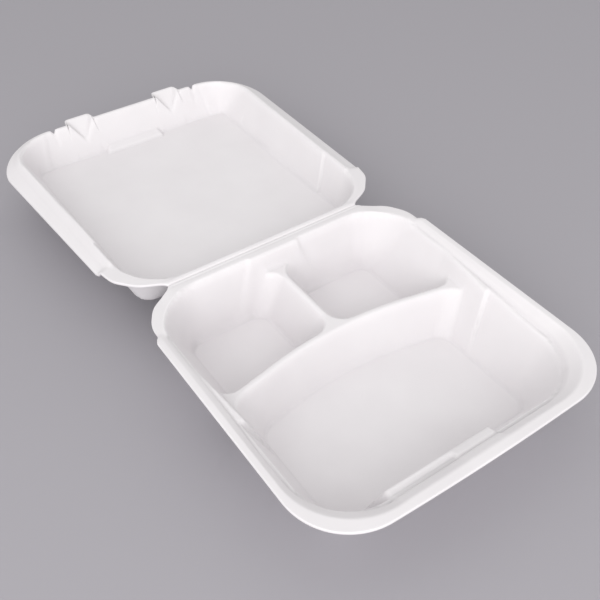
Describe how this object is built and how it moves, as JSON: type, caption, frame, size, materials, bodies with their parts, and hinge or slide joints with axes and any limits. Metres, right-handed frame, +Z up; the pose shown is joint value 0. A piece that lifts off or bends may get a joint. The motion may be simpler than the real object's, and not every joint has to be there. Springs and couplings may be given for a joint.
{
  "type": "hinged foam food container",
  "caption": "Shallow square foam food container with a divided base and a fold-over lid joined by a creased hinge.",
  "frame": {"origin": "centre of the bounding box at the level of the base's underside", "axes": "+X along the hinge, +Y from the base to the open lid, +Z up; the base's front edge faces -Y"},
  "size_m": [0.2576, 0.4985, 0.056],
  "materials": {
    "foam_base": "matte white foam with a very soft sheen",
    "foam_lid": "matte white foam with a very soft sheen"
  },
  "bodies": {
    "base": {"base": "foam_base"},
    "lid": {"lid": "foam_lid"}
  },
  "joints": [
    {"name": "lid_hinge", "type": "hinge", "parent": "base", "child": "lid", "pos_m": [0, -0.00783, 0.0546], "axis": [1, 0, 0], "range_deg": [0, 180]}
  ]
}
